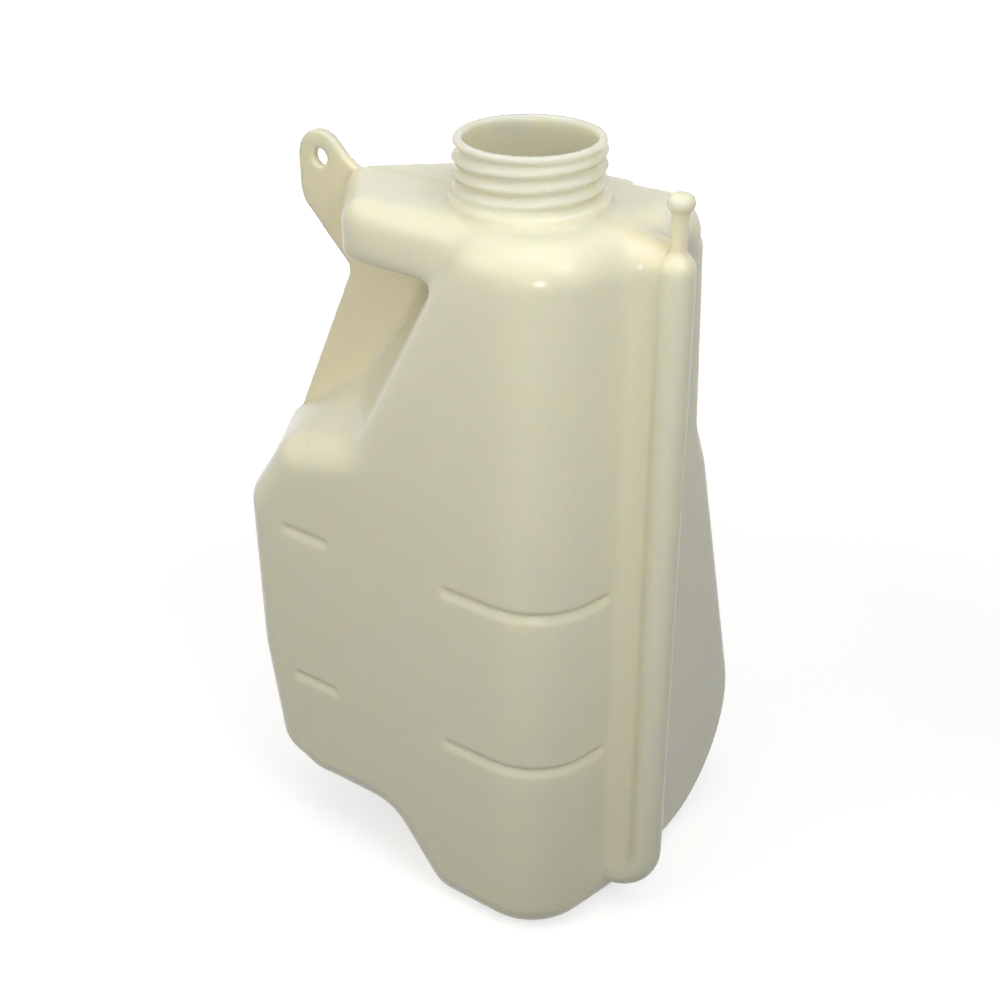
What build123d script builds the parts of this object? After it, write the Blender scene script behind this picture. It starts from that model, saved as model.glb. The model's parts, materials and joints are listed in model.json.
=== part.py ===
# Coolant expansion tank: one hollow blow-moulded bottle with a threaded filler neck, a riser tube moulded
# along one side and a flat fixing tab. Millimetres. X runs right along the mould's parting plane, Y away
# from the front face, Z up. The neck's axis stands on the origin, and the foot's underside is at Z = 0.
import os
from math import cos, radians, sin

from build123d import *

os.makedirs("parts", exist_ok=True)

# Body: deck height, front and back faces, right side, wall and the roundings of the moulding.
wall = 2.6
deck_z = 305.5
front_y = -44.0
back_y = 49.5
side_x = 48.5
corner_x = 37.5
corner_round = 30.0
side_round = 20.0
back_round = 16.0
outline_round = 16.0
edge_round = 14.0

# Outline of the body on the parting plane: flank, shoulder, wing, underside and foot.
flank_top_x = -13.0
flank_foot_x = -77.5
flank_rise = 30.0
shoulder_x = -119.5
shoulder_z = 190.5
shoulder_drop = 27.0
wing_x = -132.5
wing_low_z = 97.5
heel_x = -126.0
heel_z = 43.0
under_x = -105.0
under_z = 33.0
step_x = -43.0
foot_x = -18.0

# The same outline on the front face, drawn in by the draft of the mould.
front_flank_top_x = -1.0
front_flank_foot_x = -50.0
front_flank_rise = 2.0
front_shoulder_x = -84.0
front_shoulder_lift = 15.0
front_wing_x = -107.5
front_wing_lift = 10.0
front_heel_x = -100.0
front_under_x = -77.5

# Arm from the deck to the tab.
arm_tip_x = -85.0
arm_front_x = -56.0
arm_front_y = -36.0
arm_back_x = -28.0
arm_root_x = 16.0
arm_depth = 24.0
arm_corner_round = 12.0
arm_edge_round = 10.0
arm_under_round = 3.5

# Belly of the back half.
belly_left_x = -84.0
belly_start_y = 12.0
belly_start_z = 289.0
belly_sink = 4.0
belly_top_y = 51.5
belly_ledge_y = 60.5
belly_ledge_z = 193.5
belly_ledge_h = 19.0
belly_heel_y = 120.0
belly_heel_round = 52.0
belly_bend = 12.0
belly_round = 8.0

# Flat web and tab pinched on the parting plane.
web_thick = 4.0
tab_x = -95.0
tab_z = 304.9
tab_r = 10.5
tab_low_z = 287.5
notch_x = -82.0
notch_z = 263.5
web_left_x = -115.5
tab_hole_r = 3.3
tab_hole_break = 0.6
tab_lean = 45.0
tab_neck_round = 14.0
notch_round = 5.0

# Riser tube and its nipple.
riser_x = 59.5
riser_low_x = 62.5
riser_r = 6.5
riser_wall = 1.8
riser_top_z = 300.5
riser_low_z = 36.0
riser_bend = 19.5
riser_web_thick = 8.5
nipple_r = 3.0
nipple_h = 20.0
bead_r = 4.8
bead_h = 6.4
bead_round = 2.8

# Filler neck and its thread.
neck_h = 24.0
neck_r = 25.2
neck_wall = 2.0
lip_flare = 0.8
lip_h = 2.4
rim_round = 0.9
collar_ledge = 3.6
collar_h = 4.5
collar_round = 2.0
thread_depth = 2.2
thread_pitch = 5.3
thread_turns = 3.0
thread_low = 5.0
thread_base = 3.6
thread_crest = 1.4
thread_start = 124.0

# Level grooves, placed by their upper edges.
groove_h = 5.0
groove_depth = 2.0
groove_low_z = 91.0
groove_high_z = 165.0
groove_left = -9.5
groove_end_y = -11.0
short_groove_left = -90.0
short_groove_right = -66.0

# How far the section planes and the lofted halves run past the finished body, and the slack in picking edges.
far = 200.0
reach = 1.2
slack = 0.5

flank_foot_z = shoulder_z + flank_rise
wing_top_z = shoulder_z - shoulder_drop
front_shoulder_z = shoulder_z + front_shoulder_lift
front_flank_foot_z = front_shoulder_z + front_flank_rise
front_wing_top_z = wing_top_z + front_wing_lift
belly_top_z = belly_ledge_z + belly_ledge_h
rim_z = deck_z + neck_h
neck_bore_r = neck_r - neck_wall
lip_r = neck_r + lip_flare
collar_r = neck_r + collar_ledge
thread_r = neck_r + thread_depth
riser_shoulder_z = riser_top_z - riser_r
riser_floor_z = riser_low_z - riser_bend
nipple_top_z = riser_top_z + nipple_h


def drawn_in(points, inset):
    """The corners of a closed outline, listed anticlockwise, with each side moved in by the inset."""
    corners = [Vector(x, z) for x, z in points]
    moved = []
    for before, corner, after in zip(corners[-1:] + corners[:-1], corners, corners[1:] + corners[:1]):
        into = (corner - before).normalized()
        out = (after - corner).normalized()
        turn = into.X * out.Y - into.Y * out.X
        slide = inset * (1 - into.dot(out)) / turn if abs(turn) > 1e-9 else 0
        moved.append(corner + into.rotate(Axis.Z, 90) * inset - into * slide)
    return [(v.X, v.Y) for v in moved]


def outline(points, y, inset):
    """A body section on a plane of constant Y, drawn in by the inset."""
    corners = drawn_in([(far, deck_z), *points, (far, 0)], inset)
    return Plane((0, y, 0), x_dir=(1, 0, 0), z_dir=(0, -1, 0)) * make_face(Polyline(*corners, close=True))


def plan_face(inset):
    """The trunk seen from above: front face, round front corner, right side and back face."""
    corners = [
        (-far, front_y + inset),
        (corner_x - inset, front_y + inset),
        (side_x - inset, 0),
        (side_x - inset, back_y - inset),
        (-far, back_y - inset),
    ]
    rounds = [corner_round - inset, side_round, back_round - inset]
    path = FilletPolyline(*corners, radius=rounds)
    return make_face([path, Line(path @ 1, path @ 0)])


def trunk(inset):
    """Front and back halves lofted from the parting plane, trimmed to the plan and rounded."""
    parting = [
        (flank_top_x, deck_z),
        (flank_foot_x, flank_foot_z),
        (shoulder_x, shoulder_z),
        (wing_x, wing_top_z),
        (wing_x, wing_low_z),
        (heel_x, heel_z),
        (under_x, under_z),
        (step_x, under_z),
        (foot_x, 0),
    ]
    front = [
        (front_flank_top_x, deck_z),
        (front_flank_foot_x, front_flank_foot_z),
        (front_shoulder_x, front_shoulder_z),
        (front_wing_x, front_wing_top_z),
        (front_wing_x, wing_low_z),
        (front_heel_x, heel_z),
        (front_under_x, under_z),
        (step_x, under_z),
        (foot_x, 0),
    ]
    beyond = [(p[0] + reach * (f[0] - p[0]), p[1] + reach * (f[1] - p[1])) for p, f in zip(parting, front)]
    half = loft([outline(parting, 0, inset), outline(beyond, reach * front_y, inset)], ruled=True)
    mould_edges = [e for e in half.edges() if abs(e.tangent_at(0.5).Y) > 0.5 and e.center().X < side_x]
    half = fillet(mould_edges, outline_round - inset)
    body = (half + mirror(half, Plane.XZ)) & extrude(plan_face(inset), deck_z)
    deck = body.faces().sort_by(Axis.Z)[-1]
    return fillet(deck.edges(), edge_round - inset)


def belly(inset):
    """The swollen lower part of the back half: a side profile run across the tank, cut off at the flank."""
    side_corners = [
        (belly_start_y, under_z),
        (back_y - edge_round, 0),
        (belly_heel_y, 0),
        (belly_ledge_y, belly_ledge_z),
        (belly_top_y, belly_top_z),
        (back_y - belly_sink, belly_start_z),
        (belly_start_y, belly_start_z),
    ]
    side = Plane((belly_left_x, 0, 0), x_dir=(0, 1, 0), z_dir=(1, 0, 0))
    profile = make_face(Polyline(*drawn_in(side_corners, inset), close=True))
    solid = extrude(side * profile, side_x - belly_left_x)
    levels = solid.edges().filter_by(Axis.X)
    bends = [e for e in levels if under_z + inset < e.center().Z < belly_start_z - inset - slack]
    solid = fillet(bends, belly_bend)
    heel = solid.edges().filter_by(Axis.X).sort_by(Axis.Y)[-1]
    solid = fillet(heel, belly_heel_round - inset)
    slope = (flank_top_x - flank_foot_x) / (deck_z - flank_foot_z)
    front_corners = [
        (belly_left_x, -far),
        (side_x, -far),
        (side_x, deck_z),
        (flank_top_x, deck_z),
        (belly_left_x, flank_foot_z - (flank_foot_x - belly_left_x) / slope),
    ]
    front = make_face(Polyline(*drawn_in(front_corners, inset), close=True))
    solid = solid & extrude(Plane.XZ * front, -belly_heel_y)
    crest = solid.edges().filter_by(Axis.Y).group_by(Axis.X)[0].sort_by(Axis.Z)[-1]
    solid = fillet(crest, outline_round - inset)
    back = [e for e in solid.edges() if e.center().Y > belly_start_y + inset + slack]
    low = [e for e in back if e.center().Z < belly_start_z - inset - slack]
    rim = [e for e in low if abs(e.tangent_at(0.5).X) < 0.9]
    return fillet(rim, belly_round - inset)


def arm(inset):
    """The tapering branch of the deck that carries the tab."""
    corners = drawn_in(
        [
            (arm_tip_x, 0),
            (arm_front_x, arm_front_y),
            (arm_root_x, arm_front_y),
            (arm_root_x, back_y),
            (arm_back_x, back_y),
        ],
        inset,
    )
    under = Plane.XY.offset(deck_z - arm_depth + inset)
    solid = extrude(under * make_face(Polyline(*corners, close=True)), arm_depth - 2 * inset)
    uprights = solid.edges().filter_by(Axis.Z).sort_by(Axis.X)
    solid = fillet(uprights[:3], arm_corner_round - inset)
    free = [e for e in solid.edges() if e.center().X < arm_root_x - inset - slack]
    top = [e for e in free if e.bounding_box().min.Z > deck_z - inset - slack]
    solid = fillet(top, arm_edge_round - inset)
    free = [e for e in solid.edges() if e.center().X < arm_root_x - inset - slack]
    low = [e for e in free if e.bounding_box().max.Z < deck_z - arm_depth + inset + slack]
    return fillet(low, arm_under_round - inset)


def web():
    """The flat pinched plate on the parting plane: the web below the arm, and the tab with its hole."""
    lean = radians(tab_lean)
    tangent = (tab_x + tab_r * cos(lean), tab_z + tab_r * sin(lean))
    dip_z = deck_z - web_thick / 2
    dip = (tangent[0] + tangent[1] - dip_z, dip_z)
    corners = [
        tangent,
        (tab_x, tab_z),
        (tab_x - tab_r, tab_z),
        (tab_x - tab_r, tab_low_z),
        (notch_x, notch_z),
        (web_left_x, shoulder_z),
        (flank_foot_x, shoulder_z),
        (flank_top_x, deck_z - arm_depth),
        (flank_top_x, dip_z),
        dip,
    ]
    plate = make_face(Polyline(*corners, close=True))
    plate = fillet(plate.vertices().sort_by_distance((notch_x, notch_z))[0], notch_round)
    plate = fillet(plate.vertices().sort_by_distance((tab_x - tab_r, tab_low_z))[0], tab_r)
    plate = fillet(plate.vertices().sort_by_distance(dip)[0], tab_neck_round)
    plate = plate + Pos(tab_x, tab_z) * Circle(tab_r)
    solid = extrude(Plane.XZ * plate, web_thick / 2, both=True)
    solid = solid - Pos(tab_x, 0, tab_z) * Rot(90, 0, 0) * Cylinder(tab_hole_r, 2 * web_thick)
    circles = solid.edges().filter_by(GeomType.CIRCLE)
    return chamfer([e for e in circles if e.radius < tab_hole_r + slack], tab_hole_break)


def riser(radius):
    """The tube beside the body: straight down, then bent into the foot."""
    ends = [(riser_x, 0, riser_shoulder_z), (riser_low_x, 0, riser_floor_z), (0, 0, riser_floor_z)]
    path = FilletPolyline(*ends, radius=riser_bend)
    ring = Plane(path @ 0, z_dir=path % 0) * Circle(radius)
    return sweep(ring, path)


def riser_web():
    """The pinched strip that ties the riser to the body and climbs to the deck's edge."""
    root_x = side_x - edge_round / 2
    corners = [
        (root_x, riser_floor_z),
        (riser_low_x, riser_low_z),
        (riser_x, riser_shoulder_z),
        (root_x, deck_z - wall),
    ]
    return extrude(Plane.XZ * make_face(Polyline(*corners, close=True)), riser_web_thick / 2, both=True)


def nipple():
    """The riser's domed end and its hose nipple: a thin stem under a rounded bead, closed at the tip."""
    bead_z = nipple_top_z - bead_h / 2
    upright = (Align.CENTER, Align.CENTER, Align.MIN)
    stem = Pos(riser_x, 0, riser_shoulder_z) * Cylinder(nipple_r, bead_z - riser_shoulder_z, align=upright)
    bead = Cylinder(bead_r, bead_h)
    bead = fillet(bead.edges().filter_by(GeomType.CIRCLE), bead_round)
    dome = Pos(riser_x, 0, riser_shoulder_z) * Sphere(riser_r)
    return dome + stem + Pos(riser_x, 0, bead_z) * bead


def neck():
    """Filler neck: collar, plain wall and a lip that flares to the rim."""
    sunk = deck_z - wall
    profile = [
        (neck_bore_r, sunk),
        (collar_r, sunk),
        (collar_r, deck_z + collar_h),
        (neck_r, deck_z + collar_h),
        (neck_r, rim_z - lip_h),
        (lip_r, rim_z),
        (neck_bore_r, rim_z),
    ]
    solid = revolve(Plane.XZ * make_face(Polyline(*profile, close=True)), Axis.Z)
    circles = solid.edges().filter_by(GeomType.CIRCLE).sort_by(Axis.Z)
    shoulder = [e for e in circles if e.radius > collar_r - slack][-1]
    solid = fillet(shoulder, collar_round)
    return fillet(solid.faces().sort_by(Axis.Z)[-1].edges(), rim_round)


def thread():
    """One coarse right-hand ridge wound up the neck, from the collar to the lip."""
    path = Helix(thread_pitch, thread_pitch * thread_turns, neck_r)
    ridge = [
        (-wall / 4, -thread_base / 2),
        (thread_r - neck_r, -thread_crest / 2),
        (thread_r - neck_r, thread_crest / 2),
        (-wall / 4, thread_base / 2),
    ]
    section = Plane(path @ 0, x_dir=(1, 0, 0), z_dir=(0, -1, 0)) * make_face(Polyline(*ridge, close=True))
    return Pos(0, 0, deck_z + thread_low) * Rot(0, 0, thread_start) * sweep(section, path, is_frenet=True)


def grooves(grow):
    """The level marks, crisp above and sloping out to the surface below, grown by the wall for the inside."""
    end_y = groove_end_y + grow
    end_x = side_x + (side_x - corner_x) * end_y / -front_y
    round_corner = [(groove_left - grow, front_y), (corner_x, front_y), (end_x, end_y)]
    long_line = FilletPolyline(*round_corner, radius=corner_round)
    short_line = Line((short_groove_left - grow, front_y), (short_groove_right + grow, front_y))
    low = -groove_h - grow
    corners = [(grow, -groove_depth - grow), (grow, groove_depth), (low, groove_depth), (low, -grow)]
    marks = []
    for line in (long_line, short_line):
        section = Plane(line @ 0, x_dir=(0, 0, 1), z_dir=line % 0) * make_face(Polyline(*corners, close=True))
        marks += [Pos(0, 0, level) * sweep(section, line) for level in (groove_low_z, groove_high_z)]
    return marks


outside = trunk(0) + riser(riser_r) + riser_web() + belly(0) + arm(0) + web() + nipple() + neck() - grooves(0)
inside = trunk(wall) + riser(riser_r - riser_wall) + belly(wall) + arm(wall) - grooves(wall)
mouth = Pos(0, 0, rim_z) * Cylinder(neck_bore_r, 2 * (neck_h + 2 * wall))
tank = outside - inside - mouth + thread()
tank.label = "tank_body"
export_step(tank, "parts/tank_body.step")
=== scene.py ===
import json
import math

import bpy
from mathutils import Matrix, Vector

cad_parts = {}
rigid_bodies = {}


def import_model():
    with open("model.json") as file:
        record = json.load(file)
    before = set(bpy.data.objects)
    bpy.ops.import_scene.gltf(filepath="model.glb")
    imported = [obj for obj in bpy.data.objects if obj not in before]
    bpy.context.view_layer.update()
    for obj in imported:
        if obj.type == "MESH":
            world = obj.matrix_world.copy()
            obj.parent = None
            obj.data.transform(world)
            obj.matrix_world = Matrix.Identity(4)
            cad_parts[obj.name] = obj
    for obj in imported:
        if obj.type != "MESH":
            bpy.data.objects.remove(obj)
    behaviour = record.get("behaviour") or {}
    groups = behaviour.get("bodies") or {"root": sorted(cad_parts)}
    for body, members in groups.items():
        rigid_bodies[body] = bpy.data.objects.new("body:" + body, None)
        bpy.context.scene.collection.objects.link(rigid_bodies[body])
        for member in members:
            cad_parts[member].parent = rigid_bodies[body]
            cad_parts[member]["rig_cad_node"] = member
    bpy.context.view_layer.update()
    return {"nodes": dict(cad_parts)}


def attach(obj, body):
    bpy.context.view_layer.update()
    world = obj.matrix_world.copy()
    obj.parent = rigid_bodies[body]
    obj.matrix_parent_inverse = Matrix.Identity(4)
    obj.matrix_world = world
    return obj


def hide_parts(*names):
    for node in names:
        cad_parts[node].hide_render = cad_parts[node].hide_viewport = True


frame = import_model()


# The tank: one blow-moulded bottle of natural, milky plastic, its neck, tube, web and tab all of a piece.
# Hot plastic is blown against the mould, so no inside corner is sharp and the skin is satin and faintly wavy.
# Its thread is soft, its lip flares a little, and a low ridge joins the deck to the head of the riser tube.
merge_distance = 0.00002
ridge_place = (0.0465, 0.004, 0.293)
ridge_radii = (0.012, 0.011, 0.0105)
skin_grain = 0.0009
skin_triangles = 190000
smooth_factor = 0.5
soft_passes = 5
blend_passes = 160
thread_radii = (0.0240, 0.0300)
thread_foot = 0.3090
thread_softness = 0.035
lip_foot = 0.3262
lip_inside = 0.0245
lip_rise = 0.0015
lip_flare = 0.0011
cream = (0.880, 0.842, 0.660, 1.0)
warm_cream = (0.865, 0.818, 0.605, 1.0)
# A darker, warmer cream used as painted shade on the web and tab.
web_shade_cream = (0.820, 0.755, 0.515, 1.0)

# Each place that is blended further is a box: its low corner, its high corner and its edge's depth of fade.
under_arm = ((-0.060, -0.060, 0.200), (0.026, -0.003, 0.304), 0.008)
arm_root = ((-0.045, -0.060, 0.270), (0.024, -0.030, 0.320), 0.008)
riser_valley = ((0.042, -0.009, 0.020), (0.055, 0.009, 0.300), 0.001)
riser_head = ((0.030, -0.018, 0.265), (0.0545, 0.018, 0.315), 0.003)


def soften(name, passes, group_name):
    """Smooth the tank's skin a number of times, all over or by a vertex group."""
    softener = tank.modifiers.new(name, "SMOOTH")
    softener.factor = smooth_factor
    softener.iterations = passes
    softener.vertex_group = group_name
    bpy.ops.object.modifier_apply(modifier=softener.name)


def blend_weight(point):
    """How far a point of the skin is blended, from 0 to 1."""
    weight = 0.0
    for low, high, edge in (under_arm, arm_root, riser_valley, riser_head):
        depth = min(min(p - a, b - p) for p, a, b in zip(point, low, high))
        weight = max(weight, depth / edge)
    from_axis = math.hypot(point[0], point[1])
    if thread_radii[0] < from_axis < thread_radii[1] and thread_foot < point[2] < lip_foot:
        weight = max(weight, thread_softness)
    return min(1.0, weight)


tank_solid = frame["nodes"]["tank_body"]
bpy.ops.object.select_all(action="DESELECT")
tank_solid.select_set(True)
bpy.context.view_layer.objects.active = tank_solid
bpy.ops.object.duplicate()
tank = bpy.context.active_object
tank.name = "tank_moulding"
tank.data.name = "tank_moulding"
del tank["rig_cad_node"]

bpy.ops.object.mode_set(mode="EDIT")
bpy.ops.mesh.select_all(action="SELECT")
bpy.ops.mesh.remove_doubles(threshold=merge_distance)
bpy.ops.object.mode_set(mode="OBJECT")

bpy.ops.mesh.primitive_uv_sphere_add(segments=48, ring_count=24, location=ridge_place)
riser_ridge = bpy.context.active_object
riser_ridge.scale = ridge_radii
bpy.ops.object.transform_apply(location=True, rotation=True, scale=True)
tank.select_set(True)
bpy.context.view_layer.objects.active = tank
bpy.ops.object.join()

skin = tank.modifiers.new("even_skin", "REMESH")
skin.mode = "VOXEL"
skin.voxel_size = skin_grain
bpy.ops.object.modifier_apply(modifier=skin.name)
soften("blown_soft", soft_passes, "")

blends = tank.vertex_groups.new(name="blends")
for corner in tank.data.vertices:
    weight = blend_weight(tuple(corner.co))
    if weight > 0.0:
        blends.add([corner.index], weight, "REPLACE")
soften("blended_corners", blend_passes, blends.name)
tank.vertex_groups.clear()

for corner in tank.data.vertices:
    from_axis = math.hypot(corner.co.x, corner.co.y)
    if corner.co.z > lip_foot and from_axis > lip_inside:
        flare = 1.0 + lip_flare * min(1.0, (corner.co.z - lip_foot) / lip_rise) / from_axis
        corner.co.x *= flare
        corner.co.y *= flare

# The even skin is all quads, two triangles each.
thinned = tank.modifiers.new("fewer_faces", "DECIMATE")
thinned.ratio = skin_triangles / (2 * len(tank.data.polygons))
bpy.ops.object.modifier_apply(modifier=thinned.name)
bpy.ops.object.shade_smooth()

plastic = bpy.data.materials.new("milky_plastic")
plastic.use_nodes = True
nodes = plastic.node_tree.nodes
links = plastic.node_tree.links
shader = nodes["Principled BSDF"]
shader.inputs["IOR"].default_value = 1.5
shader.inputs["Specular IOR Level"].default_value = 0.3
shader.inputs["Subsurface Weight"].default_value = 0.9
shader.inputs["Subsurface Radius"].default_value = (1.0, 0.85, 0.5)
place = nodes.new("ShaderNodeTexCoord")
axes = nodes.new("ShaderNodeSeparateXYZ")
links.new(place.outputs["Object"], axes.inputs["Vector"])


def mottle(scale, detail):
    """A cloudy pattern on the tank's own coordinates."""
    noise = nodes.new("ShaderNodeTexNoise")
    noise.inputs["Scale"].default_value = scale
    noise.inputs["Detail"].default_value = detail
    links.new(place.outputs["Object"], noise.inputs["Vector"])
    return noise.outputs["Fac"]


def bump(height, strength, distance):
    """A bump that follows a pattern."""
    relief = nodes.new("ShaderNodeBump")
    relief.inputs["Strength"].default_value = strength
    relief.inputs["Distance"].default_value = distance
    links.new(height, relief.inputs["Height"])
    return relief


def carried(tree, value, from_min, from_max, to_min, to_max):
    """A value carried over from one range to another, and held at its ends."""
    carrier = tree.nodes.new("ShaderNodeMapRange")
    carrier.inputs["From Min"].default_value = from_min
    carrier.inputs["From Max"].default_value = from_max
    carrier.inputs["To Min"].default_value = to_min
    carrier.inputs["To Max"].default_value = to_max
    tree.links.new(value, carrier.inputs["Value"])
    return carrier.outputs["Result"]


# The colour is clouded at random, and within a few millimetres of the parting plane, over the web and tab, it
# is darkened with painted shade for the hollow under the arm.
cloud_mix = nodes.new("ShaderNodeMix")
cloud_mix.data_type = "RGBA"
cloud_mix.inputs["A"].default_value = cream
cloud_mix.inputs["B"].default_value = warm_cream
links.new(mottle(scale=11.0, detail=3.0), cloud_mix.inputs["Factor"])
off_parting = nodes.new("ShaderNodeMath")
off_parting.operation = "ABSOLUTE"
links.new(axes.outputs["Y"], off_parting.inputs[0])
# Painted shade: the web and tab near the parting plane are mixed halfway to the darker cream.
painted_shade = carried(
    plastic.node_tree, off_parting.outputs["Value"], from_min=0.002, from_max=0.004, to_min=0.5, to_max=0.0)
painted_shade_mix = nodes.new("ShaderNodeMix")
painted_shade_mix.data_type = "RGBA"
painted_shade_mix.inputs["B"].default_value = web_shade_cream
links.new(cloud_mix.outputs["Result"], painted_shade_mix.inputs["A"])
links.new(painted_shade, painted_shade_mix.inputs["Factor"])
links.new(painted_shade_mix.outputs["Result"], shader.inputs["Base Color"])

# The neck's thinner wall lets more light through than the body does.
scatter = carried(
    plastic.node_tree, axes.outputs["Z"], from_min=0.304, from_max=0.311, to_min=0.004, to_max=0.012)
links.new(scatter, shader.inputs["Subsurface Scale"])

scuffs = mottle(scale=40.0, detail=5.0)
satin = carried(plastic.node_tree, scuffs, from_min=0.3, from_max=0.7, to_min=0.16, to_max=0.23)
links.new(satin, shader.inputs["Roughness"])

wave_bump = bump(mottle(scale=28.0, detail=1.0), strength=0.5, distance=0.0008)
grain_bump = bump(mottle(scale=900.0, detail=2.0), strength=0.25, distance=0.00006)
links.new(wave_bump.outputs["Normal"], grain_bump.inputs["Normal"])
links.new(grain_bump.outputs["Normal"], shader.inputs["Normal"])

tank.data.materials.clear()
tank.data.materials.append(plastic)
tank_solid.data.materials.clear()
tank_solid.data.materials.append(plastic)
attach(tank, "root")
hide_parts("tank_body")


# The studio: a wide pale floor that fills the picture, soft light from above and in front, a pale surround.
# The camera stands where the photograph was taken from: 35 degrees right of the front face, looking down.
floor_size = 14.0
floor_lit = (0.08, 0.08, 0.08, 1.0)
floor_seen = (0.65, 0.65, 0.65, 1.0)
white = (1.0, 1.0, 1.0, 1.0)
warm_white = (1.0, 0.99, 0.97, 1.0)
camera_place = (0.2757, -0.4116, 0.4768)
azimuth = math.radians(35.0)
dip = math.radians(30.5)


def seen_rays(tree):
    """1 for rays that show a surface, straight, mirrored or through another, and 0 for those that light."""
    path = tree.nodes.new("ShaderNodeLightPath")
    mirrored = tree.nodes.new("ShaderNodeMath")
    mirrored.operation = "ADD"
    tree.links.new(path.outputs["Is Glossy Ray"], mirrored.inputs[0])
    tree.links.new(path.outputs["Is Transmission Ray"], mirrored.inputs[1])
    seen = tree.nodes.new("ShaderNodeMath")
    seen.operation = "ADD"
    seen.use_clamp = True
    tree.links.new(path.outputs["Is Camera Ray"], seen.inputs[0])
    tree.links.new(mirrored.outputs["Value"], seen.inputs[1])
    return seen.outputs["Value"]


def soft_light(name, place, aim, size, spread, power, colour):
    """A square soft box at a place, turned to what it lights, with its beam held to a spread in degrees."""
    bpy.ops.object.light_add(type="AREA", location=place)
    lamp = bpy.context.active_object
    lamp.name = name
    lamp.data.size = size
    lamp.data.spread = math.radians(spread)
    lamp.data.energy = power
    lamp.data.color = colour
    lamp.rotation_mode = "QUATERNION"
    lamp.rotation_quaternion = (Vector(aim) - Vector(place)).to_track_quat("-Z", "Y")


bpy.ops.object.select_all(action="DESELECT")
bpy.ops.mesh.primitive_plane_add(size=floor_size, location=(0.0, 0.0, 0.0))
floor = bpy.context.active_object
floor.name = "floor"
floor_paint = bpy.data.materials.new("pale_floor")
floor_paint.use_nodes = True
floor_tree = floor_paint.node_tree
floor_shader = floor_tree.nodes["Principled BSDF"]
floor_shader.inputs["Roughness"].default_value = 0.9
floor_shader.inputs["Specular IOR Level"].default_value = 0.0
floor_rays = seen_rays(floor_tree)
floor_colour = floor_tree.nodes.new("ShaderNodeMix")
floor_colour.data_type = "RGBA"
floor_colour.inputs["A"].default_value = floor_lit
floor_colour.inputs["B"].default_value = floor_seen
floor_tree.links.new(floor_rays, floor_colour.inputs["Factor"])
floor_tree.links.new(floor_colour.outputs["Result"], floor_shader.inputs["Base Color"])

# Seen floor glows to white away from the tank, and keeps the tank's shadow near it.
floor_place = floor_tree.nodes.new("ShaderNodeTexCoord")
floor_reach = floor_tree.nodes.new("ShaderNodeVectorMath")
floor_reach.operation = "LENGTH"
floor_tree.links.new(floor_place.outputs["Object"], floor_reach.inputs[0])
floor_fade = carried(
    floor_tree, floor_reach.outputs["Value"], from_min=0.3, from_max=0.9, to_min=0.62, to_max=1.0)
floor_glow = floor_tree.nodes.new("ShaderNodeMath")
floor_glow.operation = "MULTIPLY"
floor_tree.links.new(floor_rays, floor_glow.inputs[0])
floor_tree.links.new(floor_fade, floor_glow.inputs[1])
floor_shader.inputs["Emission Color"].default_value = white
floor_tree.links.new(floor_glow.outputs["Value"], floor_shader.inputs["Emission Strength"])
floor.data.materials.append(floor_paint)

world = bpy.data.worlds.new("pale_surround")
bpy.context.scene.world = world
world.use_nodes = True
surround = world.node_tree.nodes["Background"]
surround.inputs["Color"].default_value = warm_white
surround_strength = carried(
    world.node_tree, seen_rays(world.node_tree), from_min=0.0, from_max=1.0, to_min=0.28, to_max=1.0)
world.node_tree.links.new(surround_strength, surround.inputs["Strength"])

soft_light(
    "overhead_box", place=(0.08, -0.12, 0.85), aim=(0.08, -0.12, 0.0),
    size=0.7, spread=180.0, power=1.8, colour=(1.0, 1.0, 1.0))
soft_light(
    "right_box", place=(0.75, -0.25, 1.0), aim=(0.02, 0.0, 0.34),
    size=0.45, spread=50.0, power=0.29, colour=(0.97, 0.98, 1.0))
soft_light(
    "left_box", place=(-0.45, -0.7, 0.75), aim=(0.0, 0.0, 0.2),
    size=0.6, spread=180.0, power=2.2, colour=(1.0, 0.95, 0.84))
soft_light(
    "front_box", place=(0.45, -0.70, 0.36), aim=(0.03, -0.04, 0.32),
    size=0.11, spread=90.0, power=0.46, colour=(0.98, 0.99, 1.0))

bpy.ops.object.camera_add(location=camera_place)
camera = bpy.context.active_object
look = Vector((-math.sin(azimuth) * math.cos(dip), math.cos(azimuth) * math.cos(dip), -math.sin(dip)))
camera.rotation_mode = "QUATERNION"
camera.rotation_quaternion = look.to_track_quat("-Z", "Y")
camera.data.sensor_width = 36.0
camera.data.lens = 53.03
camera.data.clip_start = 0.01
bpy.context.scene.camera = camera
bpy.context.scene.view_settings.view_transform = "Standard"
